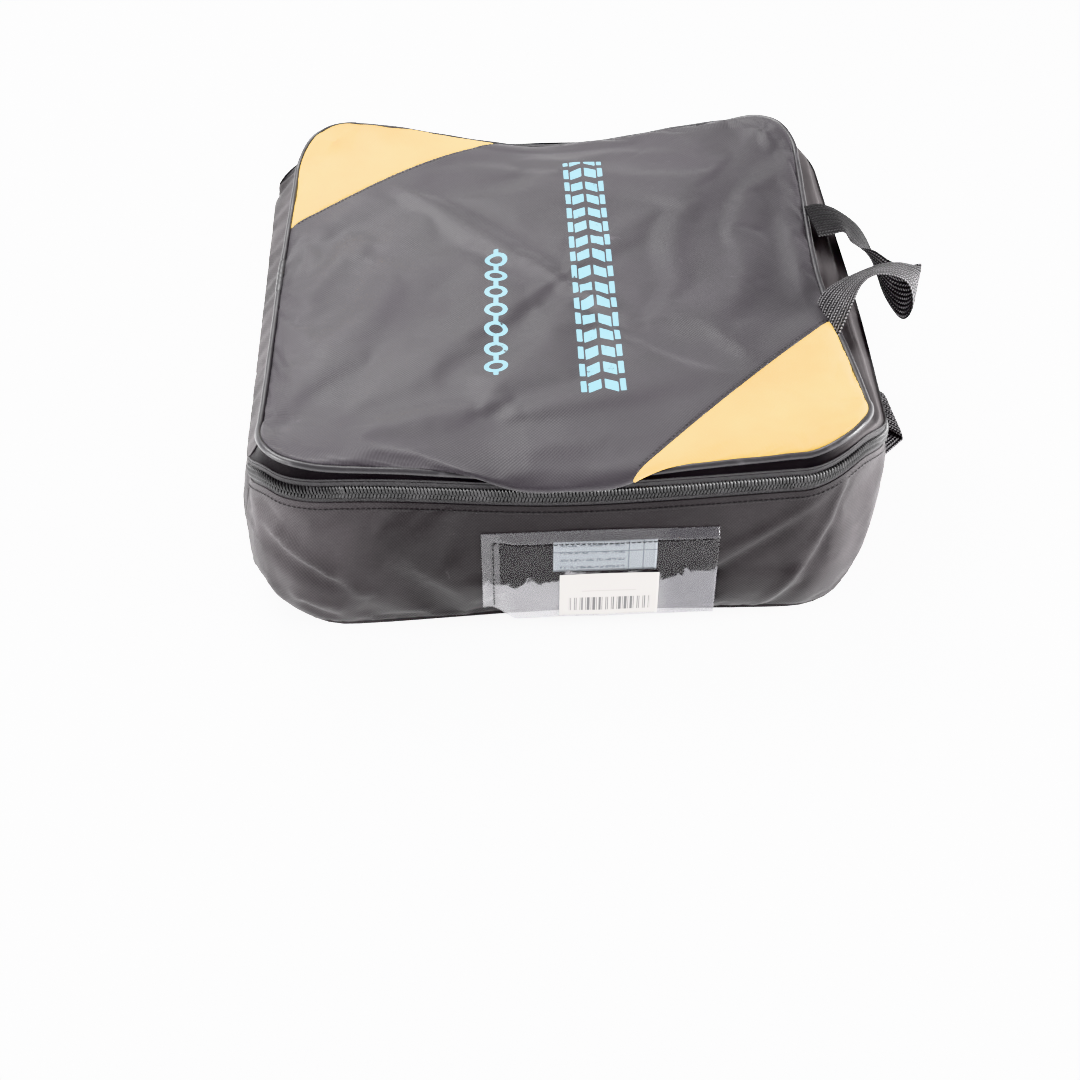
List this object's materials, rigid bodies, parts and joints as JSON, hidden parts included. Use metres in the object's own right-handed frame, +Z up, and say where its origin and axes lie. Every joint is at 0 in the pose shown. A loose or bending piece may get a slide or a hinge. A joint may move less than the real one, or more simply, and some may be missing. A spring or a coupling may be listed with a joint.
{
  "type": "zipped tyre snow sock carry bag",
  "caption": "Square soft-sided zip-up carry bag for folded tyre snow socks, with a hinged padded-looking lid, piping, contrast corner patches, webbing handles and a clear label pocket.",
  "frame": {"origin": "on the floor, at the middle of the base panel's nominal outline", "axes": "+Z up, +X towards the handles, -X towards the fabric hinge, -Y towards the front wall with the label pocket"},
  "size_m": [0.4605, 0.4187, 0.1432],
  "materials": {
    "bag_fabric": "black coated polyester, satin",
    "lid_fabric": "black coated polyester, satin, lit from above",
    "patch_fabric": "light orange coated polyester",
    "piping": "black vinyl piping, glossy on its crest",
    "zip_tape": "black woven tape",
    "zip_coil": "black nylon coil",
    "slider_metal": "black painted zinc",
    "webbing": "dark grey polypropylene webbing",
    "binding": "black binding tape",
    "clear_film": "clear flexible vinyl",
    "card_paper": "bluish white card",
    "label_paper": "cream paper sticker",
    "sock_fabric": "light grey woven polyester"
  },
  "bodies": {
    "bag": {"base_panel": "bag_fabric", "base_binding": "binding", "side_wall": "bag_fabric", "hinge_wall": "bag_fabric", "corner_seam_front": "binding", "corner_seam_rear": "binding", "lower_zip_tape": "zip_tape", "lower_zip_coil": "zip_coil", "label_pocket": "clear_film", "bar_label": "label_paper", "snow_sock_lower": "sock_fabric", "snow_sock_upper": "sock_fabric"},
    "lid": {"lid_panel": "lid_fabric", "corner_patch_front": "patch_fabric", "corner_patch_rear": "patch_fabric", "lid_piping": "piping", "piping_sleeve": "piping", "lid_band": "bag_fabric", "hinge_flap": "bag_fabric", "lid_binding": "binding", "upper_zip_tape": "zip_tape", "upper_zip_coil": "zip_coil"},
    "lid_handle": {"lid_handle": "webbing"},
    "base_handle": {"base_handle": "webbing"},
    "zip_slider": {"slider_face": "slider_metal", "slider_back": "slider_metal"},
    "zip_pull": {"pull_tab": "slider_metal"},
    "name_card": {"name_card": "card_paper"}
  },
  "joints": [
    {"name": "lid_hinge", "type": "hinge", "parent": "bag", "child": "lid", "pos_m": [-0.2004, 0, 0.1], "axis": [0, -1, 0], "range_deg": [0, 165]},
    {"name": "lid_handle_swing", "type": "hinge", "parent": "lid", "child": "lid_handle", "pos_m": [0.179, 0.007, 0.1285], "axis": [0, -1, 0], "range_deg": [0, 135]},
    {"name": "base_handle_swing", "type": "hinge", "parent": "bag", "child": "base_handle", "pos_m": [0.192, -0.007, 0.0012], "axis": [0, -1, 0], "range_deg": [0, 45]},
    {"name": "slider_run", "type": "slide", "parent": "bag", "child": "zip_slider", "axis": [1, 0, 0], "range_m": [0, 0.25]},
    {"name": "pull_swing", "type": "hinge", "parent": "zip_slider", "child": "zip_pull", "pos_m": [-0.129, 0.20979, 0.097], "axis": [0, 1, 0], "range_deg": [-50, 90]},
    {"name": "card_slide", "type": "slide", "parent": "bag", "child": "name_card", "axis": [1, 0, 0], "range_m": [0, 0.115]}
  ]
}
